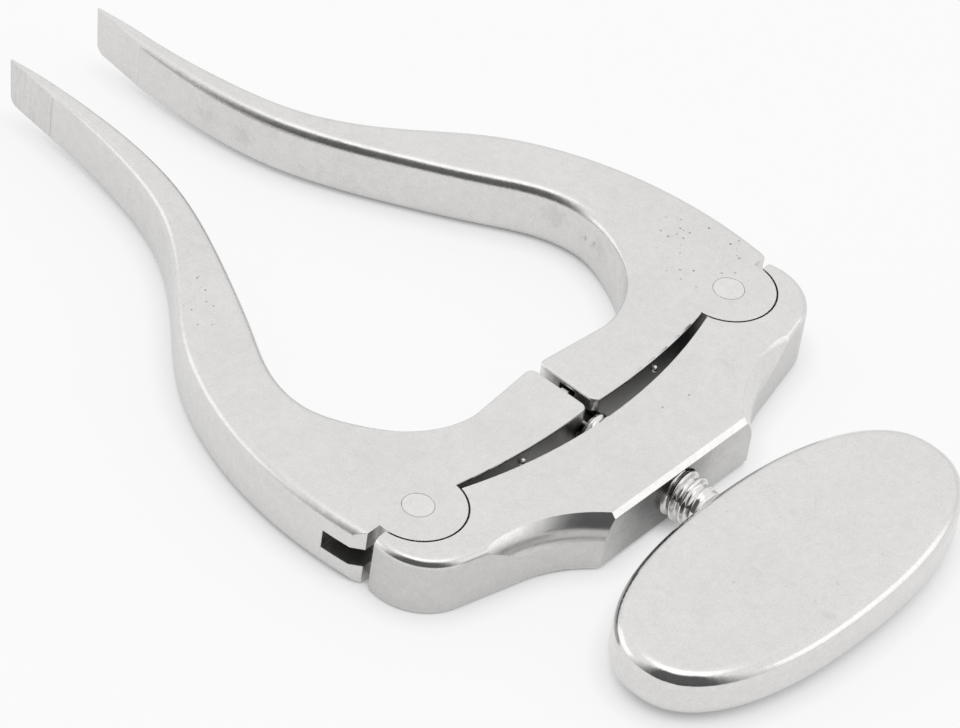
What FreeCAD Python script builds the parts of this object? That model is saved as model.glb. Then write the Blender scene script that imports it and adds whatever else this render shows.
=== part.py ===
import FreeCAD, Part
import math
import os
from FreeCAD import Placement, Rotation, Vector

# Osteotomy distractor: a crossbar (yoke) carries two curved arms on rivet pins. A thumb screw runs
# through the yoke and its swivelling button sits in a pocket between the arms' inner ends, so that
# driving the screw in swings the inner ends forward and spreads the blades.
# Millimetres. X is across, Y runs from the thumb plate to the blade tips, Z is up, and the whole
# instrument lies flat on Z = 0. The origin is on the yoke's underside, below the middle of the screw.

# Driving dimensions
DRIVING = (
    # Body and pivots
    ("body_thickness", 8.6),
    ("pivot_spacing", 60.0),
    ("pivot_line_y", 11.5),
    ("pin_radius", 2.05),
    ("pin_running_clearance", 0.05),
    ("hub_radius", 6.2),
    ("seat_clearance", 0.25),
    # Forked hub and the tongue that enters it
    ("tongue_thickness", 2.7),
    ("tongue_side_clearance", 0.06),
    ("tongue_radius", 5.9),
    ("slot_end_clearance", 0.7),
    # Yoke outline, measured from the pivot line
    ("yoke_front_mid", 5.3),
    ("yoke_front_corner", 1.6),
    ("yoke_rear", 17.5),
    ("boss_half_width", 14.3),
    ("lobe_radius", 7.9),
    ("lobe_offset_x", 0.8),
    ("lobe_offset_y", 2.5),
    ("lobe_front", 0.45),
    ("waist_depth", 12.3),
    ("waist_reach", 24.0),
    ("waist_slope_deg", 11.3),
    ("waist_radius", 18.9),
    ("yoke_edge_round", 1.1),
    ("waist_edge_round", 0.9),
    ("under_edge_round", 0.5),
    ("waist_under_round", 0.5),
    ("waist_barrel_radius", 7.0),
    ("waist_barrel_height", 4.2),
    ("waist_barrel_inset", 0.03),
    ("boss_chamfer", 0.7),
    # Arms
    ("inner_gap", 1.2),
    ("inner_end_corner", 1.1),
    ("inner_end_front", 7.1),
    ("inner_end_rear", 2.5),
    ("arm_rear_mid", 2.25),
    ("hub_rear_corner", 0.7),
    ("shoulder_y", 0.8),
    ("outer_edge_round", 1.3),
    ("inner_edge_round", 1.4),
    ("crotch_edge_round", 0.3),
    ("blade_edge_round", 0.4),
    ("rear_edge_break", 0.4),
    ("tip_y", 92.0),
    ("tip_inboard", 21.82),
    ("tip_width", 0.25),
    ("tip_taper_length", 9.0),
    ("tip_taper_width", 2.2),
    ("tip_rake", 0.7),
    ("tip_corner_round", 1.4),
    ("tip_lift", 1.8),
    ("lift_start_y", 20.0),
    # Screw, button and pocket
    ("screw_radius", 3.4),
    ("bore_clearance", 0.05),
    ("screw_front_gap", 0.6),
    ("neck_radius", 2.0),
    ("neck_clearance", 0.6),
    ("nose_radius", 1.5),
    ("rivet_radius", 2.2),
    ("rivet_depth", 0.5),
    ("runout_length", 1.2),
    ("runout_radius", 2.7),
    ("spigot_radius", 1.9),
    ("spigot_length", 9.0),
    ("pocket_front", 3.4),
    ("pocket_length", 2.65),
    ("button_radius", 3.45),
    ("pocket_clearance", 0.3),
    ("button_end_clearance", 0.15),
    ("button_dome_radius", 10.0),
    # Thumb plate
    ("plate_half_width", 29.1),
    ("plate_half_depth", 13.1),
    ("plate_front", 22.3),
    ("plate_thickness", 6.8),
    ("plate_edge_round", 2.0),
    ("plate_fullness", 2.3),
    # Stop pins
    ("stop_pin_x", 12.8),
    ("stop_pin_height", 6.7),
    ("stop_ball_radius", 0.5),
    ("stop_shank_radius", 0.3),
    ("stop_shank_length", 2.0),
)

# Values that follow from the driving ones
DERIVED = (
    ("pivot_x", "=pivot_spacing / 2"),
    ("mid_height", "=body_thickness / 2"),
    ("arm_hole_radius", "=pin_radius + pin_running_clearance"),
    ("seat_radius", "=hub_radius + seat_clearance"),
    ("tongue_bottom", "=(body_thickness - tongue_thickness) / 2"),
    ("slot_height", "=tongue_thickness + 2 * tongue_side_clearance"),
    ("slot_bottom", "=(body_thickness - slot_height) / 2"),
    ("slot_reach", "=tongue_radius + slot_end_clearance"),
    ("slot_open_reach", "=2 * hub_radius"),
    ("screw_bore_radius", "=screw_radius + bore_clearance"),
    ("waist_centre_x", "=waist_reach + waist_radius * sin(waist_slope_deg)"),
    ("waist_centre_y", "=-waist_depth - waist_radius * cos(waist_slope_deg)"),
    ("barrel_ring_radius", "=waist_radius + waist_barrel_radius - waist_barrel_inset"),
    ("pocket_radius", "=button_radius + pocket_clearance"),
    ("pocket_rear", "=pocket_front - pocket_length"),
    ("neck_bore_radius", "=neck_radius + neck_clearance"),
    ("plate_bottom", "=mid_height - plate_thickness / 2"),
)

# Stations of the arm's two long sides: distance inboard of the pivot and ahead of it. Both sides
# run on past the tip, where the taper cuts them off.
OUTER_SIDE = (
    (-9.4, 2.4), (-9.75, 10.0), (-8.7, 20.0), (-5.75, 30.0), (-0.2, 40.0),
    (8.9, 50.0), (15.8, 60.0), (18.9, 70.0), (20.45, 80.0), (20.6, 94.0),
)
INNER_SIDE = (
    (17.6, 6.15), (12.5, 7.4), (7.7, 10.9), (4.6, 16.0), (3.0, 22.0), (4.1, 28.0),
    (8.0, 35.0), (13.1, 43.8), (17.85, 53.0), (20.6, 60.0), (22.45, 69.0), (23.0, 80.0), (22.7, 94.0),
)
# Stations at which the rounding of a side's edge starts to grow, is full and starts to fade
INNER_ROUND_STATIONS = (2, 4, 8)
OUTER_ROUND_STATIONS = (5,)
PLATE_OUTLINE_POINTS = 48
CUTTER_MARGIN = 5.0
TOUCH = 1e-6
SAME_POINT = 1e-4

doc = FreeCAD.newDocument("osteotomy_distractor")
sheet = doc.addObject("Spreadsheet::Sheet", "Dimensions")
for row, (name, value) in enumerate(DRIVING + DERIVED, start=1):
    sheet.set(f"A{row}", name)
    sheet.set(f"B{row}", str(value))
    sheet.setAlias(f"B{row}", name)
doc.recompute()


def size(name):
    return float(sheet.get(name))


def bind(obj, prop, expression):
    """Tie a property of an object to the sheet."""
    obj.setExpression(prop, expression)


def cell(name):
    return "Dimensions." + name


def origin_plane(body, role):
    return [feature for feature in body.Origin.OriginFeatures if feature.Role == role][0]


def add_sketch(body, name, role, geometry, offset=None):
    """A sketch on one of the body's own planes, raised along the plane's normal by a sheet value."""
    sketch = body.newObject("Sketcher::SketchObject", name)
    sketch.AttachmentSupport = [(origin_plane(body, role), "")]
    sketch.MapMode = "FlatFace"
    if offset:
        bind(sketch, "AttachmentOffset.Base.z", cell(offset))
    sketch.addGeometry(geometry, False)
    doc.recompute()
    return sketch


def edge_names(shape, wanted):
    """Names of a shape's edges for which wanted(edge) holds."""
    return [f"Edge{number}" for number, edge in enumerate(shape.Edges, start=1) if wanted(edge)]


def line(start, end):
    return Part.LineSegment(Vector(*start), Vector(*end))


def arc(start, middle, end):
    return Part.Arc(Vector(*start), Vector(*middle), Vector(*end))


def circle(x, y, radius):
    return Part.Circle(Vector(x, y, 0), Vector(0, 0, 1), radius)


def mirrored(point):
    return (-point[0], point[1], 0)


def arc_point(centre, radius, degrees):
    angle = math.radians(degrees)
    return (centre[0] + radius * math.cos(angle), centre[1] + radius * math.sin(angle), 0)


def lies_flat_at(edge, height):
    return all(abs(vertex.Z - height) < TOUCH for vertex in edge.Vertexes)


def middle_of(edge):
    first, last = edge.ParameterRange
    return edge.valueAt((first + last) / 2)


def seat_on_frame(obj, label):
    """Give a finished piece its name and its place in the instrument's own frame."""
    obj.Label = label
    bind(obj, "Placement.Base.y", cell("pivot_line_y"))
    return obj


# Yoke


def yoke_outline():
    """Right half from the middle of the front edge round to the rear, then the mirrored left half."""
    pivot_x = size("pivot_x")
    seat = size("seat_radius")
    front_mid = (0, -size("yoke_front_mid"), 0)
    corner_y = -size("yoke_front_corner")
    front_corner = (pivot_x - math.sqrt(seat ** 2 - corner_y ** 2), corner_y, 0)
    lobe_centre = (pivot_x + size("lobe_offset_x"), -size("lobe_offset_y"))
    lobe = size("lobe_radius")
    front_y = -size("lobe_front")
    front_rise = math.degrees(math.asin((front_y - lobe_centre[1]) / lobe))
    lobe_front = arc_point(lobe_centre, lobe, front_rise)
    lobe_inner = (pivot_x + math.sqrt(seat ** 2 - front_y ** 2), front_y, 0)

    # The lobe runs tangent into a straight flank, and the flank into the hollow waist
    slope = size("waist_slope_deg")
    flank_end = (size("waist_reach"), -size("waist_depth"), 0)
    lobe_end = arc_point(lobe_centre, lobe, slope - 90)
    waist = size("waist_radius")
    waist_centre = arc_point(flank_end, waist, slope - 90)
    rear_y = -size("yoke_rear")
    boss_x = size("boss_half_width")
    rear_angle = math.degrees(math.atan2(rear_y - waist_centre[1], boss_x - waist_centre[0]))
    start_angle = slope + 90
    waist_mid = arc_point(waist_centre, waist, (rear_angle + start_angle) / 2)
    boss_corner = (boss_x, rear_y, 0)

    half = [
        line(front_corner, lobe_inner),
        line(lobe_inner, lobe_front),
        arc(lobe_front, arc_point(lobe_centre, lobe, (front_rise + slope - 90) / 2), lobe_end),
        line(lobe_end, flank_end),
        arc(flank_end, waist_mid, boss_corner),
    ]
    front = arc(mirrored(front_corner), front_mid, front_corner)
    rear = line(boss_corner, mirrored(boss_corner))
    other_half = []
    for segment in half:
        copy = segment.copy()
        copy.mirror(Vector(0, 0, 0), Vector(0, 1, 0))
        other_half.append(copy)
    return [front] + half + [rear] + other_half


def flank_edges(shape):
    """Number and two radii of the lobes', flanks' and waists' edges, rounder towards the boss."""
    rear_y = -size("yoke_rear") + size("boss_chamfer")
    front_y = -size("lobe_front") - size("yoke_edge_round")
    rounds = ((0, "under_edge_round", "waist_under_round"),
              (size("body_thickness"), "yoke_edge_round", "waist_edge_round"))
    found = []
    for number, edge in enumerate(shape.Edges, start=1):
        middle = middle_of(edge)
        if middle.y > front_y or middle.y < rear_y or abs(middle.x) < size("boss_half_width"):
            continue
        for height, lobe_round, waist_round in rounds:
            if lies_flat_at(edge, height):
                ends = [edge.valueAt(parameter).y for parameter in edge.ParameterRange]
                radii = [size(waist_round if y < rear_y + TOUCH else lobe_round) for y in ends]
                found.append((number, *radii))
    return found


def make_barrel_cutter(name, sign):
    """What is ground off a waist's upper wall: a disc about the waist's centre, less a ring."""
    centre = (sign + cell("waist_centre_x"), cell("waist_centre_y"), cell("waist_barrel_height"))
    height = f"{cell('body_thickness')} - {cell('waist_barrel_height')} + {cell('boss_chamfer')}"
    disc = cylinder(name + "Disc", cell("barrel_ring_radius"), height, centre)
    ring = doc.addObject("Part::Torus", name + "Ring")
    bind(ring, "Radius1", cell("barrel_ring_radius"))
    bind(ring, "Radius2", cell("waist_barrel_radius"))
    for letter, expression in zip("xyz", centre):
        bind(ring, f"Placement.Base.{letter}", expression)
    cutter = doc.addObject("Part::Cut", name + "Grinding")
    cutter.Base = disc
    cutter.Tool = ring
    return cutter


def make_yoke():
    body = doc.addObject("PartDesign::Body", "YokeBlank")
    outline = add_sketch(body, "YokeOutline", "XY_Plane", yoke_outline())
    pad = body.newObject("PartDesign::Pad", "YokePad")
    pad.Profile = outline
    bind(pad, "Length", cell("body_thickness"))
    doc.recompute()

    rear_y = -size("yoke_rear")
    top = size("body_thickness")

    def on_rear(edge):
        level = lies_flat_at(edge, 0) or lies_flat_at(edge, top)
        return level and abs(middle_of(edge).y - rear_y) < TOUCH

    chamfer = body.newObject("PartDesign::Chamfer", "BossChamfer")
    chamfer.Base = (pad, edge_names(pad.Shape, on_rear))
    bind(chamfer, "Size", cell("boss_chamfer"))
    doc.recompute()

    rounded = doc.addObject("Part::Fillet", "YokeRounding")
    rounded.Base = body
    rounded.Edges = flank_edges(body.Shape)
    doc.recompute()

    # Round seats for the arms' hubs, above and below the tongue, and the waists' bulging upper walls
    above = f"{cell('tongue_bottom')} + {cell('tongue_thickness')}"
    pivot = cell("pivot_x")
    seats = doc.addObject("Part::MultiFuse", "HubSeats")
    seats.Shapes = [make_barrel_cutter("LeftWaist", "-"), make_barrel_cutter("RightWaist", "")] + [
        cylinder(name, cell("seat_radius"), cell("tongue_bottom"), (sign + pivot, "0", base))
        for name, sign, base in (("SeatBelowLeft", "-", "0"), ("SeatBelowRight", "", "0"),
                                 ("SeatAboveLeft", "-", above), ("SeatAboveRight", "", above))
    ]
    seated = doc.addObject("Part::Cut", "SeatedYoke")
    seated.Base = rounded
    seated.Tool = seats

    # Tongues: round plates at mid height
    tongued = doc.addObject("Part::MultiFuse", "TonguedYoke")
    tongued.Shapes = [seated] + [
        cylinder(name, cell("tongue_radius"), cell("tongue_thickness"), (sign + pivot, "0", cell("tongue_bottom")))
        for name, sign in (("TongueLeft", "-"), ("TongueRight", ""))
    ]
    tongued.Refine = True

    # Pin holes, and the screw's bore through the boss
    bores = doc.addObject("Part::MultiFuse", "YokeBores")
    bores.Shapes = [
        cylinder(name, cell("pin_radius"), cell("body_thickness"), (sign + pivot, "0", "0"))
        for name, sign in (("PinHoleLeft", "-"), ("PinHoleRight", ""))
    ]
    bores.Shapes += [cylinder("ScrewBore", cell("screw_bore_radius"), f"2 * {cell('yoke_rear')}",
                              ("0", f"-{cell('yoke_rear')} * 1.5", cell("mid_height")), "y")]
    yoke = doc.addObject("Part::Cut", "Yoke")
    yoke.Base = tongued
    yoke.Tool = bores
    return seat_on_frame(yoke, "yoke_body")


# Arms


def station_point(station):
    """A station of the left arm's side, in the pivot line's frame."""
    inboard, ahead = station
    return Vector(inboard - size("pivot_x"), ahead, 0)


def long_side(stations, cuts):
    """One side as a smooth curve, cut at some stations so that each stretch has its own rounding."""
    curve = Part.BSplineCurve()
    curve.interpolate([station_point(station) for station in stations])
    limits = [curve.FirstParameter]
    limits += [curve.parameter(station_point(stations[cut])) for cut in cuts]
    limits.append(curve.LastParameter)
    pieces = []
    for start, end in zip(limits, limits[1:]):
        piece = curve.copy()
        piece.segment(start, end)
        pieces.append(piece)
    return pieces


def arm_outline():
    """Left arm with the blade left long, and each piece's edge rounding at its start and end."""
    pivot_x = size("pivot_x")
    hub = size("hub_radius")
    end_x = -size("inner_gap") / 2
    corner = size("inner_end_corner")
    inner_side = long_side(INNER_SIDE, INNER_ROUND_STATIONS)
    outer_side = long_side(OUTER_SIDE, OUTER_ROUND_STATIONS)
    crotch = inner_side[0].StartPoint
    shoulder_outer = outer_side[0].StartPoint
    shoulder_y = size("shoulder_y")
    shoulder_corner = (shoulder_outer.x + corner, shoulder_y, 0)
    hub_outer = (-pivot_x - math.sqrt(hub ** 2 - shoulder_y ** 2), shoulder_y, 0)
    rear_corner_y = -size("hub_rear_corner")
    hub_inner = (-pivot_x + math.sqrt(hub ** 2 - rear_corner_y ** 2), rear_corner_y, 0)
    end_rear_y = -size("inner_end_rear")
    end_front_y = size("inner_end_front")
    rear_meet = (end_x - corner, end_rear_y, 0)
    end_rear = (end_x, end_rear_y + corner, 0)
    end_front = (end_x, end_front_y - corner, 0)
    front_meet = (end_x - corner, end_front_y, 0)
    bend = corner * (1 - math.sqrt(0.5))
    rear_mid = ((hub_inner[0] + rear_meet[0]) / 2, -size("arm_rear_mid"), 0)

    small = size("crotch_edge_round")
    inner = size("inner_edge_round")
    outer = size("outer_edge_round")
    blade = size("blade_edge_round")
    rear = size("rear_edge_break")
    inner_rounds = [(small, small), (small, inner), (inner, inner), (inner, blade)]
    outer_rounds = [(outer, outer), (outer, blade)]
    return [
        *zip(inner_side, inner_rounds),
        (line(inner_side[-1].EndPoint, outer_side[-1].EndPoint), None),
        *zip(outer_side, outer_rounds),
        (line(shoulder_outer, shoulder_corner), None),
        (line(shoulder_corner, hub_outer), None),
        (arc(hub_outer, (-pivot_x, -hub, 0), hub_inner), None),
        (arc(hub_inner, rear_mid, rear_meet), (rear, rear)),
        (arc(rear_meet, (end_x - bend, end_rear_y + bend, 0), end_rear), (rear, rear)),
        (line(end_rear, end_front), (rear, rear)),
        (arc(end_front, (end_x - bend, end_front_y - bend, 0), front_meet), (rear, small)),
        (line(front_meet, crotch), (small, small)),
    ]


def rounded_edges(shape, outline):
    """Edge number and its two radii for every top and bottom edge that the outline rounds."""
    found = []
    for number, edge in enumerate(shape.Edges, start=1):
        height = edge.Vertexes[0].Z
        if not (lies_flat_at(edge, 0) or lies_flat_at(edge, size("body_thickness"))):
            continue
        first = edge.valueAt(edge.FirstParameter)
        last = edge.valueAt(edge.LastParameter)
        for piece, radii in outline:
            if radii is None:
                continue
            start = Vector(piece.StartPoint.x, piece.StartPoint.y, height)
            end = Vector(piece.EndPoint.x, piece.EndPoint.y, height)
            if first.distanceToPoint(start) < SAME_POINT and last.distanceToPoint(end) < SAME_POINT:
                found.append((number, radii[0], radii[1]))
            elif first.distanceToPoint(end) < SAME_POINT and last.distanceToPoint(start) < SAME_POINT:
                found.append((number, radii[1], radii[0]))
    return found


def cylinder(name, radius, height, base, axis="z"):
    """A cylinder whose radius, height and base are expressions of the sheet's cells."""
    obj = doc.addObject("Part::Cylinder", name)
    if axis == "y":
        obj.Placement = Placement(Vector(0, 0, 0), Rotation(Vector(1, 0, 0), -90))
    bind(obj, "Radius", radius)
    bind(obj, "Height", height)
    for letter, expression in zip("xyz", base):
        if expression != "0":
            bind(obj, f"Placement.Base.{letter}", expression)
    return obj


def stop_pin(name, sign, rear_face_y):
    """A ball-headed pin pressed into the rear face of an inner end, its ball half sunk in the face."""
    base = (sign + cell("stop_pin_x"), "0", cell("stop_pin_height"))
    shank = cylinder(name + "Shank", cell("stop_shank_radius"), cell("stop_shank_length"), base, "y")
    ball = doc.addObject("Part::Sphere", name + "Ball")
    bind(ball, "Radius", cell("stop_ball_radius"))
    bind(ball, "Placement.Base.x", base[0])
    bind(ball, "Placement.Base.z", base[2])
    for half in (shank, ball):
        half.Placement.Base.y = rear_face_y
    pin = doc.addObject("Part::Fuse", name)
    pin.Base = ball
    pin.Tool = shank
    return pin


def make_tip_taper():
    """The space round the blade's ground end, in plan, where both faces run in to the tip."""
    pivot_x = size("pivot_x")
    tip_y = size("tip_y")
    start_y = tip_y - size("tip_taper_length")
    half_start = size("tip_taper_width") / 2
    half_tip = size("tip_width") / 2
    tip_x = size("tip_inboard") - pivot_x
    far = size("hub_radius")
    ahead = tip_y + CUTTER_MARGIN
    corners = [
        (tip_x - far, start_y, 0),
        (tip_x - half_start, start_y, 0),
        (tip_x - half_tip, tip_y, 0),
        (tip_x + half_tip, tip_y, 0),
        (tip_x + half_start, start_y, 0),
        (tip_x + far, start_y, 0),
        (tip_x + far, ahead, 0),
        (tip_x - far, ahead, 0),
    ]
    body = doc.addObject("PartDesign::Body", "TipTaper")
    outline = [line(a, b) for a, b in zip(corners, corners[1:] + corners[:1])]
    pad = body.newObject("PartDesign::Pad", "TipTaperPad")
    pad.Profile = add_sketch(body, "TipTaperOutline", "XY_Plane", outline)
    bind(pad, "Length", cell("body_thickness"))
    doc.recompute()
    return body


def make_blade_relief():
    """The space below the blade, whose underside rises towards the raked tip and its round corner."""
    start_y, tip_y = size("lift_start_y"), size("tip_y")
    lift, top = size("tip_lift"), size("body_thickness")
    rake, corner = size("tip_rake"), size("tip_corner_round")
    foot = Vector(tip_y - rake, lift, 0)
    front_up = Vector(rake, top - lift, 0).normalize()
    base_back = Vector(start_y - foot.x, -lift, 0).normalize()
    half_opening = math.acos(front_up.dot(base_back)) / 2
    on_front = foot + front_up * (corner / math.tan(half_opening))
    on_base = foot + base_back * (corner / math.tan(half_opening))
    bisector = (front_up + base_back).normalize()
    on_arc = foot + bisector * (corner / math.sin(half_opening) - corner)
    ahead = tip_y + CUTTER_MARGIN
    corners = [
        (tip_y, top, 0),
        (ahead, top, 0),
        (ahead, -CUTTER_MARGIN, 0),
        (start_y, -CUTTER_MARGIN, 0),
        (start_y, 0, 0),
    ]
    outline = [line(a, b) for a, b in zip(corners, corners[1:])]
    outline += [line(corners[-1], on_base), arc(on_base, on_arc, on_front), line(on_front, corners[0])]
    body = doc.addObject("PartDesign::Body", "BladeRelief")
    pad = body.newObject("PartDesign::Pad", "BladeReliefPad")
    pad.Profile = add_sketch(body, "BladeReliefOutline", "YZ_Plane", outline)
    pad.Midplane = True
    bind(pad, "Length", cell("pivot_spacing") + " * 2")
    doc.recompute()
    return body


def make_arm_cutters(rear_face_y):
    """Everything that is cut out of the left arm's rounded blank."""
    pin_hole = cylinder("ArmPinHole", cell("arm_hole_radius"), cell("body_thickness"),
                        ("-" + cell("pivot_x"), "0", "0"))

    # The hub's slot is open outwards and to the rear
    slot = doc.addObject("Part::Box", "HubSlot")
    length = f"{cell('slot_open_reach')} + {cell('slot_reach')}"
    bind(slot, "Length", length)
    bind(slot, "Width", length)
    bind(slot, "Height", cell("slot_height"))
    bind(slot, "Placement.Base.x", f"-{cell('pivot_x')} - {cell('slot_open_reach')}")
    bind(slot, "Placement.Base.y", f"-{cell('slot_open_reach')}")
    bind(slot, "Placement.Base.z", cell("slot_bottom"))

    pocket = cylinder("ButtonPocket", cell("pocket_radius"), cell("pocket_length"),
                      ("0", cell("pocket_rear"), cell("mid_height")), "y")
    neck = cylinder("NeckPassage", cell("neck_bore_radius"), f"2 * {cell('inner_end_rear')}",
                    ("0", f"{cell('pocket_rear')} - 2 * {cell('inner_end_rear')}", cell("mid_height")), "y")
    stop_seat = stop_pin("StopPinSeat", "-", rear_face_y)

    cutters = doc.addObject("Part::MultiFuse", "ArmCutters")
    cutters.Shapes = [pin_hole, slot, pocket, neck, stop_seat, make_blade_relief(), make_tip_taper()]
    return cutters


def make_arms():
    """Both arms, and how far ahead of the pivot line their rear face lies where the stop pins sit."""
    outline = arm_outline()
    body = doc.addObject("PartDesign::Body", "ArmBlank")
    pad = body.newObject("PartDesign::Pad", "ArmPad")
    pad.Profile = add_sketch(body, "ArmOutline", "XY_Plane", [piece for piece, radii in outline])
    bind(pad, "Length", cell("body_thickness"))
    doc.recompute()

    rounded = doc.addObject("Part::Fillet", "ArmRounding")
    rounded.Base = body
    rounded.Edges = rounded_edges(body.Shape, outline)
    doc.recompute()

    x, z = -size("stop_pin_x"), size("stop_pin_height")
    probe = Part.makeLine(Vector(x, -size("hub_radius"), z), Vector(x, 0, z))
    rear_face_y = min(vertex.Y for vertex in rounded.Shape.common(probe).Vertexes)

    left = doc.addObject("Part::Cut", "LeftArm")
    left.Base = rounded
    left.Tool = make_arm_cutters(rear_face_y)
    seat_on_frame(left, "left_arm")
    doc.recompute()

    right = doc.addObject("Part::Mirroring", "RightArm")
    right.Source = left
    right.Normal = Vector(1, 0, 0)
    right.Label = "right_arm"
    doc.recompute()
    return [left, right], rear_face_y


# Pins


def make_pivot_pins():
    pins = []
    for label, sign in (("left_pivot_pin", "-"), ("right_pivot_pin", "")):
        pin = cylinder(label, cell("pin_radius"), cell("body_thickness"), (sign + cell("pivot_x"), "0", "0"))
        pins.append(seat_on_frame(pin, label))
    return pins


def make_stop_pins(rear_face_y):
    return [seat_on_frame(stop_pin("LeftStopPin", "-", rear_face_y), "left_stop_pin"),
            seat_on_frame(stop_pin("RightStopPin", "", rear_face_y), "right_stop_pin")]


# Screw, button and thumb plate


def turned(name, label, outline):
    """A piece turned about the screw's axis, from its half section right of that axis."""
    body = doc.addObject("PartDesign::Body", name)
    sketch = add_sketch(body, name + "Profile", "XY_Plane", outline)
    turning = body.newObject("PartDesign::Revolution", name + "Turning")
    turning.Profile = sketch
    turning.ReferenceAxis = (sketch, ["V_Axis"])
    turning.Angle = 360
    doc.recompute()
    bind(body, "Placement.Base.z", cell("mid_height"))
    return seat_on_frame(body, label)


def make_screw():
    """Spindle: riveted nose, neck, shank over the thread, runout and the spigot in the plate."""
    rivet_front = size("pocket_front") - size("button_end_clearance") - size("bore_clearance")
    rivet_rear = rivet_front - size("rivet_depth")
    button_rear = size("pocket_rear") + size("button_end_clearance")
    shoulder = -size("inner_end_rear") - size("screw_front_gap")
    plate_front = -size("plate_front")
    spigot_end = plate_front - size("spigot_length")
    lead_in = size("screw_front_gap")
    corners = [
        (0, rivet_front, 0),
        (size("rivet_radius"), rivet_front, 0),
        (size("rivet_radius"), rivet_rear, 0),
        (size("nose_radius"), rivet_rear, 0),
        (size("nose_radius"), button_rear, 0),
        (size("neck_radius"), button_rear, 0),
        (size("neck_radius"), shoulder, 0),
        (size("screw_radius") - lead_in, shoulder, 0),
        (size("screw_radius"), shoulder - lead_in, 0),
        (size("screw_radius"), plate_front + size("runout_length"), 0),
        (size("runout_radius"), plate_front, 0),
        (size("spigot_radius"), plate_front, 0),
        (size("spigot_radius"), spigot_end, 0),
        (0, spigot_end, 0),
    ]
    return turned("Spindle", "thumb_screw", [line(a, b) for a, b in zip(corners, corners[1:] + corners[:1])])


def make_button():
    """Swivel button: domed front and rear, a bore for the nose and a recess for its rivet head."""
    front = size("pocket_front") - size("button_end_clearance")
    rear = size("pocket_rear") + size("button_end_clearance")
    radius = size("button_radius")
    dome = size("button_dome_radius")
    bore = size("nose_radius") + size("pin_running_clearance")
    recess = size("rivet_radius") + size("pin_running_clearance")
    recess_floor = front - size("rivet_depth") - 2 * size("bore_clearance")

    def domed(at, face, direction):
        return (at, face - direction * (dome - math.sqrt(dome ** 2 - at ** 2)), 0)

    def dome_arc(start, end, face, direction):
        return arc(*[domed(at, face, direction) for at in (start, (start + end) / 2, end)])

    return turned("Button", "swivel_button", [
        dome_arc(recess, radius, front, 1),
        line(domed(radius, front, 1), domed(radius, rear, -1)),
        dome_arc(radius, bore, rear, -1),
        line(domed(bore, rear, -1), (bore, recess_floor, 0)),
        line((bore, recess_floor, 0), (recess, recess_floor, 0)),
        line((recess, recess_floor, 0), domed(recess, front, 1)),
    ])


def plate_outline():
    """Superellipse: fuller at the ends than an ellipse of the same size."""
    half_width, half_depth = size("plate_half_width"), size("plate_half_depth")
    power = 2 / size("plate_fullness")
    middle_y = -size("plate_front") - half_depth
    points = []
    for step in range(PLATE_OUTLINE_POINTS):
        angle = 2 * math.pi * step / PLATE_OUTLINE_POINTS
        across, along = math.cos(angle), math.sin(angle)
        points.append(Vector(
            half_width * math.copysign(abs(across) ** power, across),
            middle_y + half_depth * math.copysign(abs(along) ** power, along),
            0,
        ))
    curve = Part.BSplineCurve()
    curve.interpolate(points, PeriodicFlag=True)
    return curve


def make_plate():
    body = doc.addObject("PartDesign::Body", "PlateBlank")
    outline = add_sketch(body, "PlateOutline", "XY_Plane", [plate_outline()], "plate_bottom")
    pad = body.newObject("PartDesign::Pad", "PlatePad")
    pad.Profile = outline
    bind(pad, "Length", cell("plate_thickness"))
    doc.recompute()
    rounding = body.newObject("PartDesign::Fillet", "PlateRounding")
    low, high = size("plate_bottom"), size("plate_bottom") + size("plate_thickness")
    rims = edge_names(pad.Shape, lambda edge: lies_flat_at(edge, low) or lies_flat_at(edge, high))
    rounding.Base = (pad, rims)
    bind(rounding, "Radius", cell("plate_edge_round"))
    doc.recompute()

    socket = cylinder("PlateSocket", cell("spigot_radius"), cell("spigot_length"),
                      ("0", f"-{cell('plate_front')} - {cell('spigot_length')}", cell("mid_height")), "y")
    plate = doc.addObject("Part::Cut", "ThumbPlate")
    plate.Base = body
    plate.Tool = socket
    return seat_on_frame(plate, "thumb_plate")


def check(pieces):
    """Stop before anything is written if a feature failed or a piece isn't one sound solid."""
    failed = [obj.Name for obj in doc.Objects if "Invalid" in obj.State or "Error" in obj.State]
    if failed:
        raise RuntimeError("failed features: " + ", ".join(failed))
    for piece in pieces:
        shape = piece.Shape
        if shape.isNull() or not shape.isValid() or len(shape.Solids) != 1:
            raise RuntimeError(piece.Label + " isn't one valid solid")


def main():
    arms, rear_face_y = make_arms()
    pieces = [make_yoke(), *arms, *make_pivot_pins(), *make_stop_pins(rear_face_y)]
    pieces += [make_screw(), make_button(), make_plate()]
    doc.recompute()
    check(pieces)
    os.makedirs("parts", exist_ok=True)
    for piece in pieces:
        piece.Shape.exportStep(f"parts/{piece.Label}.step")
        box = piece.Shape.BoundBox
        print(f"{piece.Label}: {piece.Shape.Volume:.1f} mm3, x {box.XMin:.2f} {box.XMax:.2f}, "
              f"y {box.YMin:.2f} {box.YMax:.2f}, z {box.ZMin:.2f} {box.ZMax:.2f}")


main()
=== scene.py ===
import math

import bpy
from mathutils import Matrix, Vector


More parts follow.
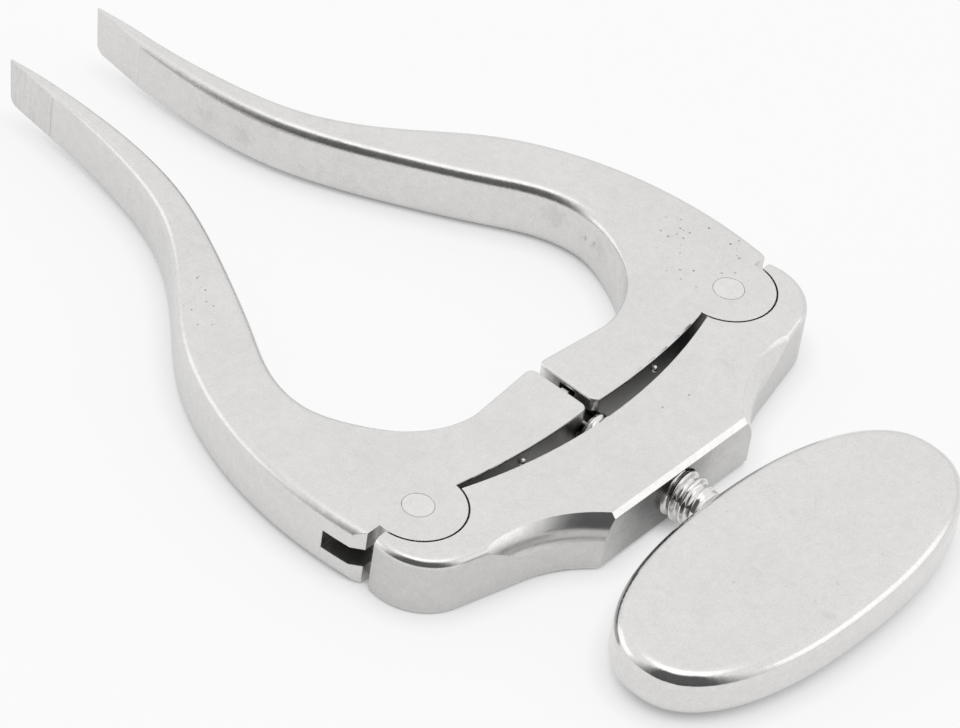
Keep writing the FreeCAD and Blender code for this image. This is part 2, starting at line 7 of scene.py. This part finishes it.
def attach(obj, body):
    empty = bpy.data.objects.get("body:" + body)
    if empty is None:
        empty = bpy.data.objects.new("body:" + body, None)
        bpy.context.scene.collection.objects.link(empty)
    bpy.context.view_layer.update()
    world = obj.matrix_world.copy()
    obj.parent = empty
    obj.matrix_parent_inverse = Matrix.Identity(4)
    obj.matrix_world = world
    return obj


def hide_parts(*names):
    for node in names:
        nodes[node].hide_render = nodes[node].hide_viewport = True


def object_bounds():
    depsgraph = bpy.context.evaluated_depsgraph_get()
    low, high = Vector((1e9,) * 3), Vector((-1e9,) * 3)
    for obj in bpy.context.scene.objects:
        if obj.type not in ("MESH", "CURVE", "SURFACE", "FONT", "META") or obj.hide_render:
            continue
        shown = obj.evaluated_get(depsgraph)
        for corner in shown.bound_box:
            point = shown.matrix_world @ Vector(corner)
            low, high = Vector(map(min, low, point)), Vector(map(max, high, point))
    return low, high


# The osteotomy distractor's looks: satin and bead-blasted stainless steel with polished edges, and the
# spindle's thread. Metres, in the CAD frame: +X across, +Y towards the blade tips, +Z up, floor at Z = 0.

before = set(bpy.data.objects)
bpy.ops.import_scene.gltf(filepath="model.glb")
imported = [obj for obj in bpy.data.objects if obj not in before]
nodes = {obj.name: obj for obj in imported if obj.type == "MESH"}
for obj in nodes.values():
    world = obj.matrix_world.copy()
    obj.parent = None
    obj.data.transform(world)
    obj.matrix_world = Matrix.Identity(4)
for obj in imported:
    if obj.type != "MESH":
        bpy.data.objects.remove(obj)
cad_low, cad_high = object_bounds()

MM = 0.001
AXIS_HEIGHT = 4.3 * MM
PITCH = 1.5 * MM
CREST_RADIUS = 3.4 * MM
ROOT_RADIUS = 2.72 * MM
GRIND_LINE = 94.6 * MM
SLOT_FLOOR = 2.8 * MM
SLOT_ROOF = 5.8 * MM
SLOT_INNER = 23.2 * MM
SLOT_FRONT = 18.3 * MM


# Camera, at the photograph's angle

CAMERA_PLACE = Vector((-0.442935, -0.286538, 0.496347))
CAMERA_YAW = 0.9548
CAMERA_PITCH = 0.7380
CAMERA_ROLL = 0.1618
CAMERA_LENS = 216.31


def make_camera():
    forward = Vector((math.sin(CAMERA_YAW) * math.cos(CAMERA_PITCH),
                      math.cos(CAMERA_YAW) * math.cos(CAMERA_PITCH),
                      -math.sin(CAMERA_PITCH)))
    level_right = Vector((math.cos(CAMERA_YAW), -math.sin(CAMERA_YAW), 0))
    level_up = level_right.cross(forward)
    right = math.cos(CAMERA_ROLL) * level_right + math.sin(CAMERA_ROLL) * level_up
    up = right.cross(forward)
    camera = bpy.data.objects.new("camera", bpy.data.cameras.new("camera"))
    bpy.context.scene.collection.objects.link(camera)
    camera.matrix_world = Matrix((
        (right.x, up.x, -forward.x, CAMERA_PLACE.x),
        (right.y, up.y, -forward.y, CAMERA_PLACE.y),
        (right.z, up.z, -forward.z, CAMERA_PLACE.z),
        (0, 0, 0, 1),
    ))
    camera.data.lens = CAMERA_LENS
    camera.data.sensor_width = 36
    camera.data.clip_start = 0.05
    camera.data.clip_end = 20
    bpy.context.scene.camera = camera


make_camera()


# Nodes


class Tree:
    """Short calls for building a node tree."""

    def __init__(self, tree):
        self.tree = tree

    def add(self, kind, settings=None, **inputs):
        node = self.tree.nodes.new(kind)
        for key, value in (settings or {}).items():
            setattr(node, key, value)
        for key, value in inputs.items():
            self.feed(node.inputs[key.replace("_", " ")], value)
        return node

    def feed(self, socket, value):
        if isinstance(value, bpy.types.NodeSocket):
            self.tree.links.new(value, socket)
        else:
            socket.default_value = value

    def math(self, operation, *values, clamp=False):
        node = self.add("ShaderNodeMath", {"operation": operation, "use_clamp": clamp})
        for socket, value in zip(node.inputs, values):
            self.feed(socket, value)
        return node.outputs[0]

    def vector(self, operation, *values):
        node = self.add("ShaderNodeVectorMath", {"operation": operation})
        for socket, value in zip(node.inputs, values):
            self.feed(socket, value)
        return node.outputs["Value" if operation in ("DISTANCE", "DOT_PRODUCT") else "Vector"]

    def step(self, value, low, high, start=0.0, end=1.0):
        """A smooth step of value from low to high."""
        node = self.add("ShaderNodeMapRange", {"interpolation_type": "SMOOTHSTEP"})
        for name, given in (("Value", value), ("From Min", low), ("From Max", high),
                            ("To Min", start), ("To Max", end)):
            self.feed(node.inputs[name], given)
        return node.outputs[0]

    def noise(self, place, scale, detail=2.0, rough=0.5, distortion=0.0):
        node = self.add("ShaderNodeTexNoise", Vector=place, Scale=scale, Detail=detail,
                        Roughness=rough, Distortion=distortion)
        return node.outputs["Fac"]

    def mix(self, factor, a, b):
        node = self.add("ShaderNodeMix", {"data_type": "RGBA"})
        self.feed(node.inputs["Factor"], factor)
        self.feed(node.inputs[6], a)
        self.feed(node.inputs[7], b)
        return node.outputs[2]


def grey(level, warmth=0.0):
    return (level * (1 + warmth), level, level * (1 - warmth), 1)


# Steel


def steel(name, level=0.71, flat_rough=0.36, edge_rough=0.2, side_rough=0.3, grain=0.5, bevel=0.12,
          painted_side_shade=1.0, marks=None, painted_shade_and_grinding=None):
    """Stainless steel: satin or blasted flats, polished roundings, faint stains and a few pits, and painted
    shade on the sides and in given places.
    """
    material = bpy.data.materials.new(name)
    material.use_nodes = True
    t = Tree(material.node_tree)
    shader = material.node_tree.nodes["Principled BSDF"]
    shader.inputs["Metallic"].default_value = 1.0
    coords = t.add("ShaderNodeTexCoord")
    place = coords.outputs["Object"]
    normal = t.add("ShaderNodeSeparateXYZ", Vector=coords.outputs["Normal"])
    upright = t.math("ABSOLUTE", normal.outputs["Z"])
    flat = t.step(upright, 0.965, 0.998)
    side = t.step(upright, 0.12, 0.03)

    # Fine blasted grain, soft cloudy wear and thin brush lines
    fine = t.noise(place, 3400.0, 3.0, 0.8)
    medium = t.noise(place, 900.0, 3.0, 0.6)
    clouds = t.noise(place, 75.0, 4.0, 0.55, 0.6)
    blotches = t.noise(place, 210.0, 5.0, 0.6, 1.2)

    tone = t.math("ADD", t.step(clouds, 0.3, 0.75, -0.018, 0.018), t.step(fine, 0.25, 0.75, -0.06, 0.06))
    tone = t.math("ADD", tone, t.step(medium, 0.3, 0.75, 0.018, -0.018))
    tone = t.math("ADD", tone, t.step(blotches, 0.3, 0.75, 0.018, -0.018))
    tone = t.math("ADD", tone, 1.0)
    pits = None
    if marks:
        pits, stains = marks(t, place, upright)
        tone = t.math("MULTIPLY", tone, t.math("SUBTRACT", 1.0, t.math("MULTIPLY", pits, 0.55)))
        tone = t.math("MULTIPLY", tone, t.math("SUBTRACT", 1.0, t.math("MULTIPLY", stains, 0.1)))
    # Painted shade: upright side faces are darkened in the colour by the given factor.
    if painted_side_shade < 1.0:
        tone = t.math("MULTIPLY", tone, t.step(upright, 0.35, 0.05, 1.0, painted_side_shade))
    # A given function darkens the colour: painted shade, and on the left arm also the blade's grinding
    # lines.
    if painted_shade_and_grinding:
        tone = t.math("MULTIPLY", tone, painted_shade_and_grinding(t, place, normal))
    bright = t.add("ShaderNodeMixRGB", {"blend_type": "MULTIPLY"}, Fac=1.0)
    t.feed(bright.inputs[1], grey(level, 0.011))
    joined = t.add("ShaderNodeCombineColor")
    for channel in joined.inputs:
        if channel.name in ("Red", "Green", "Blue"):
            t.feed(channel, tone)
    t.feed(bright.inputs[2], joined.outputs[0])
    t.feed(shader.inputs["Base Color"], bright.outputs[0])

    rough = t.math("ADD", t.math("MULTIPLY", flat, flat_rough - edge_rough), edge_rough)
    rough = t.math("ADD", rough, t.math("MULTIPLY", side, side_rough - edge_rough))
    rough = t.math("ADD", rough, t.step(medium, 0.3, 0.7, -0.03, 0.03))
    rough = t.math("ADD", rough, t.step(clouds, 0.35, 0.7, -0.02, 0.03))
    if pits is not None:
        rough = t.math("ADD", rough, t.math("MULTIPLY", pits, 0.25), clamp=True)
    t.feed(shader.inputs["Roughness"], rough)

    height = t.math("ADD", t.math("MULTIPLY", fine, grain), t.math("MULTIPLY", medium, 0.35 * grain))
    if pits is not None:
        height = t.math("SUBTRACT", height, t.math("MULTIPLY", pits, 6.0))
    rounded = t.add("ShaderNodeBevel", {"samples": 6}, Radius=bevel * MM)
    bump = t.add("ShaderNodeBump", Strength=0.25, Distance=0.012 * MM, Height=height,
                 Normal=rounded.outputs[0])
    t.feed(shader.inputs["Normal"], bump.outputs[0])
    return material


# Where the arms are marked, in millimetres

BEND_PITS = ((26.3, 35.4, 5.3), (26.4, 33.0, 4.6), (26.2, 31.4, 4.9), (24.1, 27.8, 6.0))
RIGHT_SMUDGES = ((10.3, 104.4, 4), (7.9, 82.2, 4), (8.5, 76.4, 4), (25.2, 30.0, 5), (26.5, 38, 5.5))
LEFT_SMUDGES = ((-21.5, 74.0, 4), (-27.5, 58.0, 4), (-31.0, 44.0, 5))


def region(t, place, centre, radius):
    """1 inside a soft ball round a place, 0 outside."""
    distance = t.vector("DISTANCE", place, tuple(value * MM for value in centre))
    return t.step(distance, radius * MM, radius * 0.4 * MM)


def pitting(t, place, where, spacing, size, seed):
    """Scattered dark pits on the top: a spot in some of the cells, drawn straight down."""
    moved = t.vector("ADD", place, (seed, seed * 0.7, 0))
    cells = t.add("ShaderNodeTexVoronoi", {"feature": "F1", "voronoi_dimensions": "2D"}, Vector=moved,
                  Scale=1.0 / (spacing * MM))
    chance = t.add("ShaderNodeSeparateColor", Color=cells.outputs["Color"])
    reach = t.math("MULTIPLY", t.step(chance.outputs["Green"], 0.0, 1.0, 0.5, 1.4), size)
    spot = t.step(t.math("DIVIDE", cells.outputs["Distance"], reach), 1.0, 0.5)
    kept = t.step(chance.outputs["Red"], 0.66, 0.78)
    return t.math("MULTIPLY", t.math("MULTIPLY", spot, kept), where)


def spots(t, place, centres, radius):
    """Irregular marks at given places, each a ball with a ragged edge."""
    ragged = t.math("MULTIPLY_ADD", t.noise(place, 1400.0, 3.0, 0.6), 1.8 * radius * MM, -0.9 * radius * MM)
    marked = 0.0
    for centre in centres:
        distance = t.vector("DISTANCE", place, tuple(value * MM for value in centre))
        ball = t.step(t.math("ADD", distance, ragged), radius * MM, 0.3 * radius * MM)
        marked = t.math("MAXIMUM", ball, marked)
    return marked


def arm_marks(side):
    """Pits and stains of one arm; the right arm shows more of both near its hub."""
    def marks(t, place, upright):
        top = t.step(upright, 0.9, 0.99)
        if side > 0:
            where = region(t, place, (33, 19.0, 8), 9.5)
            stain_where = region(t, place, (11, 72, 4), 22.0)
            bend = spots(t, place, BEND_PITS, 0.75)
            smudges = spots(t, place, RIGHT_SMUDGES, 2.4)
        else:
            where = t.math("MULTIPLY", region(t, place, (-24, 56, 8), 8.0), 0.8)
            stain_where = region(t, place, (-19, 70, 5), 20.0)
            bend = 0.0
            smudges = spots(t, place, LEFT_SMUDGES, 3.0)
        where = t.math("MULTIPLY", where, top)
        small = pitting(t, place, where, 1.3, 0.12, 0.011)
        large = pitting(t, place, where, 3.4, 0.06, 0.037)
        spread = t.noise(place, 330.0, 4.0, 0.6, 1.5)
        stains = t.math("MULTIPLY", t.step(spread, 0.55, 0.66), t.math("MULTIPLY", stain_where, 0.5))
        stains = t.math("MAXIMUM", stains, smudges)
        return t.math("MAXIMUM", t.math("MAXIMUM", small, large), bend), stains
    return marks


def plain_marks(centre, radius, seed, pits=1.0):
    """A few pits and faint stains on a top face."""
    def marks(t, place, upright):
        where = t.math("MULTIPLY", region(t, place, centre, radius), t.step(upright, 0.9, 0.99))
        small = t.math("MULTIPLY", pitting(t, place, where, 4.5, 0.035, seed), pits)
        spread = t.noise(place, 260.0, 4.0, 0.6, 1.5)
        return small, t.math("MULTIPLY", t.step(spread, 0.6, 0.72, 0.0, 0.6), where)
    return marks


def arm_painted_shade_and_grinding(side):
    """The hub's slot and the inner end's rear face lie in the crossbar's shadow; the left tip is ground."""
    def painted_shade_and_grinding(t, place, normal):
        at = t.add("ShaderNodeSeparateXYZ", Vector=place)
        outboard = t.math("MULTIPLY", at.outputs["X"], side)
        level = t.math("MULTIPLY", t.step(at.outputs["Z"], SLOT_FLOOR, SLOT_FLOOR + 0.06 * MM),
                       t.step(at.outputs["Z"], SLOT_ROOF, SLOT_ROOF - 0.06 * MM))
        hub = t.math("MULTIPLY", t.step(outboard, SLOT_INNER, SLOT_INNER + 0.1 * MM),
                     t.step(at.outputs["Y"], SLOT_FRONT, SLOT_FRONT - 0.1 * MM))
        slot = t.math("MULTIPLY", level, hub)
        inner_end = t.math("MULTIPLY", t.step(outboard, 24.5 * MM, 23.5 * MM),
                           t.step(at.outputs["Y"], 13.0 * MM, 12.0 * MM))
        rear = t.math("MULTIPLY", t.step(normal.outputs["Y"], -0.5, -0.85), inner_end)
        # Painted shade: the slot's inside and the inner end's rear face are darkened in the colour.
        shade = t.math("ADD", t.math("MULTIPLY", slot, 0.1), t.math("MULTIPLY", rear, 0.45))
        if side < 0:
            shade = t.math("ADD", shade, ground_tip(t, place, at, normal))
        return t.math("SUBTRACT", 1.0, shade)
    return painted_shade_and_grinding


def ground_tip(t, place, at, normal):
    """Fine upright grinding lines on the blade's walls, behind a darker edge line."""
    ground = t.step(at.outputs["Y"], GRIND_LINE, GRIND_LINE + 0.1 * MM)
    rim = t.math("MULTIPLY", ground, t.step(at.outputs["Y"], GRIND_LINE + 0.5 * MM, GRIND_LINE + 0.15 * MM))
    stretched = t.vector("MULTIPLY", place, (1, 1, 0.08))
    lines = t.step(t.noise(stretched, 2600.0, 2.0, 0.6), 0.35, 0.65, -0.05, 0.05)
    walls = t.step(t.math("ABSOLUTE", normal.outputs["Z"]), 0.3, 0.1)
    worn = t.math("ADD", t.math("MULTIPLY", rim, 0.13), t.math("ADD", lines, 0.05))
    return t.math("MULTIPLY", t.math("MULTIPLY", ground, walls), worn)


def yoke_painted_shade(t, place, normal):
    """Painted shade: the rear face, facing the thumb plate across the gap, darkens towards the screw's left
    side.
    """
    beside_screw = (-4.0 * MM, 0, 5.5 * MM)
    spread = t.vector("DISTANCE", t.vector("MULTIPLY", place, (1, 0, 1)), beside_screw)
    rear = t.step(normal.outputs["Y"], -0.9, -0.98)
    return t.math("SUBTRACT", 1.0, t.math("MULTIPLY", rear, t.step(spread, 13.0 * MM, 2.0 * MM, 0.0, 0.62)))


def dress(node, material):
    mesh = nodes[node].data
    mesh.materials.clear()
    mesh.materials.append(material)


dress("left_arm", steel("left_arm_steel", edge_rough=0.27, marks=arm_marks(-1), painted_shade_and_grinding=arm_painted_shade_and_grinding(-1)))
dress("right_arm", steel("right_arm_steel", edge_rough=0.27, marks=arm_marks(1), painted_shade_and_grinding=arm_painted_shade_and_grinding(1)))
dress("yoke_body", steel("yoke_steel", painted_side_shade=0.85, marks=plain_marks((14, 2, 8), 12.0, 0.02),
                         painted_shade_and_grinding=yoke_painted_shade))
dress("thumb_plate", steel("plate_steel", level=0.72, flat_rough=0.42, edge_rough=0.12, side_rough=0.2,
                           grain=0.8, marks=plain_marks((0, -24, 7), 30.0, 0.05, pits=0.3)))
PIN_STEEL = steel("pin_steel", level=0.75, flat_rough=0.33, grain=0.3)
BRIGHT_STEEL = steel("bright_steel", level=0.74, flat_rough=0.16, edge_rough=0.12, side_rough=0.16,
                     grain=0.15)
for node in ("left_pivot_pin", "right_pivot_pin"):
    dress(node, PIN_STEEL)
for node in ("left_stop_pin", "right_stop_pin", "swivel_button"):
    dress(node, BRIGHT_STEEL)


# Threaded spindle


THREAD_END = 8.4 * MM
SPINDLE_END = -10.8 * MM
SPIGOT_END = -19.8 * MM
SPIGOT_RADIUS = 1.9 * MM
NECK_RADIUS = 2.0 * MM
NOSE_RADIUS = 1.5 * MM
BUTTON_REAR = 12.4 * MM
RIVET_RADIUS = 2.2 * MM
RIVET_REAR = 14.2 * MM
RIVET_FRONT = 14.7 * MM
AROUND = 96
RINGS_PER_TURN = 22


def mesh_object(name, verts, faces, material):
    mesh = bpy.data.meshes.new(name)
    mesh.from_pydata(verts, [], faces)
    mesh.validate()
    mesh.update()
    mesh.shade_smooth()
    mesh.materials.append(material)
    obj = bpy.data.objects.new(name, mesh)
    bpy.context.scene.collection.objects.link(obj)
    return obj


def lathe(rows, around):
    """Rings of points about the screw's axis: rows of (y, radius or radius(angle))."""
    verts, faces = [], []
    for y, radius in rows:
        for k in range(around):
            angle = 2 * math.pi * k / around
            r = radius(angle) if callable(radius) else radius
            verts.append((r * math.sin(angle), y, AXIS_HEIGHT + r * math.cos(angle)))
    for row in range(len(rows) - 1):
        for k in range(around):
            a = row * around + k
            b = row * around + (k + 1) % around
            faces.append((a, b, b + around, a + around))
    faces.append(tuple(range(around))[::-1])
    faces.append(tuple((len(rows) - 1) * around + k for k in range(around)))
    return verts, faces


def smooth_step(value, low, high):
    x = min(1, max(0, (value - low) / (high - low)))
    return x * x * (3 - 2 * x)


def thread_radius(y):
    """Rounded ridges between the root and the crest, dying out at the plate and at the shoulder."""
    fade = smooth_step(y, SPINDLE_END, -7.4 * MM) * smooth_step(y, THREAD_END, 7.4 * MM)

    def at(angle):
        turn = y / PITCH - angle / (2 * math.pi)
        wave = 0.5 + 0.5 * math.cos(2 * math.pi * (turn - math.floor(turn) - 0.5))
        ridge = min(1.0, 1.15 * wave * wave)
        return ROOT_RADIUS + (CREST_RADIUS - ROOT_RADIUS) * ridge * fade
    return at


def make_spindle():
    rows = [(SPIGOT_END, SPIGOT_RADIUS), (SPINDLE_END, SPIGOT_RADIUS), (SPINDLE_END, ROOT_RADIUS)]
    steps = int((THREAD_END - SPINDLE_END) / (PITCH / RINGS_PER_TURN))
    for k in range(steps + 1):
        y = SPINDLE_END + (THREAD_END - SPINDLE_END) * k / steps
        rows.append((y, thread_radius(y)))
    rows += [(THREAD_END, NECK_RADIUS), (BUTTON_REAR, NECK_RADIUS), (BUTTON_REAR, NOSE_RADIUS),
             (RIVET_REAR, NOSE_RADIUS), (RIVET_REAR, RIVET_RADIUS), (RIVET_FRONT - 0.12 * MM, RIVET_RADIUS),
             (RIVET_FRONT, RIVET_RADIUS - 0.15 * MM)]
    verts, faces = lathe(rows, AROUND)
    return mesh_object("threaded_spindle", verts, faces, BRIGHT_STEEL)


spindle = make_spindle()
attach(spindle, "screw")
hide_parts("thumb_screw")


# Floor and light


def white_backdrop_ray(t):
    """1 for the rays that show the floor to the camera or in polished steel."""
    path = t.add("ShaderNodeLightPath")
    seen = t.math("MAXIMUM", path.outputs["Is Camera Ray"], path.outputs["Is Glossy Ray"])
    return t.math("MAXIMUM", seen, path.outputs["Is Transmission Ray"])


def make_floor():
    half = 3.0
    floor = bpy.data.meshes.new("floor")
    floor.from_pydata([(-half, -half, 0), (half, -half, 0), (half, half, 0), (-half, half, 0)], [],
                      [(0, 1, 2, 3)])
    material = bpy.data.materials.new("floor_white")
    material.use_nodes = True
    t = Tree(material.node_tree)
    shader = material.node_tree.nodes["Principled BSDF"]
    seen = white_backdrop_ray(t)
    # Painted contact shadow: an ambient occlusion node darkens the floor's white glow near the object, as
    # the camera and polished steel see it.
    near = t.add("ShaderNodeAmbientOcclusion", {"samples": 6}, Distance=3.5 * MM).outputs["AO"]
    painted_contact_shadow = t.math("MULTIPLY_ADD", near, 1.6, 0.05)
    shade = t.math("MINIMUM", painted_contact_shadow, t.math("MULTIPLY_ADD", near, 0.3, 0.7))
    t.feed(shader.inputs["Base Color"], t.mix(seen, grey(0.93), grey(0.15)))
    shader.inputs["Roughness"].default_value = 0.9
    shader.inputs["Specular IOR Level"].default_value = 0.0
    shader.inputs["Emission Color"].default_value = (1, 1, 1, 1)
    t.feed(shader.inputs["Emission Strength"], t.math("MULTIPLY", seen, t.math("MULTIPLY", shade, 0.835)))
    floor.materials.append(material)
    obj = bpy.data.objects.new("floor", floor)
    bpy.context.scene.collection.objects.link(obj)
    obj.location.z = cad_low.z - 0.0001


def make_world():
    """A white tent, bright overhead and at both sides, dim towards where the photographer stands."""
    world = bpy.data.worlds.new("tent")
    bpy.context.scene.world = world
    world.use_nodes = True
    t = Tree(world.node_tree)
    background = world.node_tree.nodes["Background"]
    direction = t.vector("NORMALIZE", t.add("ShaderNodeTexCoord").outputs["Generated"])
    height = t.add("ShaderNodeSeparateXYZ", Vector=direction).outputs["Z"]
    compass = t.vector("NORMALIZE", t.vector("MULTIPLY", direction, (1, 1, 0)))
    photographer = Vector((CAMERA_PLACE.x, CAMERA_PLACE.y, 0)).normalized()
    towards = t.vector("DOT_PRODUCT", compass, tuple(photographer))
    level = t.step(height, 0.0, 0.6, 0.85, 1.0)
    level = t.math("ADD", level, t.step(height, 0.88, 0.98, 0.0, 0.5))
    beside = t.math("MULTIPLY", t.step(towards, 0.36, 0.18), t.step(towards, -0.65, -0.45))
    low_sky = t.math("MULTIPLY", t.step(height, 0.03, 0.15), t.step(height, 0.6, 0.45))
    beside = t.math("MULTIPLY", beside, low_sky)
    level = t.math("ADD", level, t.math("MULTIPLY", beside, 0.42))
    opening = t.math("MULTIPLY", t.step(towards, 0.36, 0.78), t.step(height, 0.985, 0.93))
    level = t.math("MULTIPLY", level, t.math("SUBTRACT", 1.0, t.math("MULTIPLY", opening, 0.88)))
    camera_ray = t.add("ShaderNodeLightPath").outputs["Is Camera Ray"]
    seen = t.math("ADD", t.math("MULTIPLY", camera_ray, 0.955),
                  t.math("MULTIPLY", t.math("SUBTRACT", 1.0, camera_ray), level))
    background.inputs["Color"].default_value = (1, 1, 1, 1)
    t.feed(background.inputs["Strength"], seen)


make_floor()
make_world()
bpy.context.scene.view_settings.view_transform = "Standard"
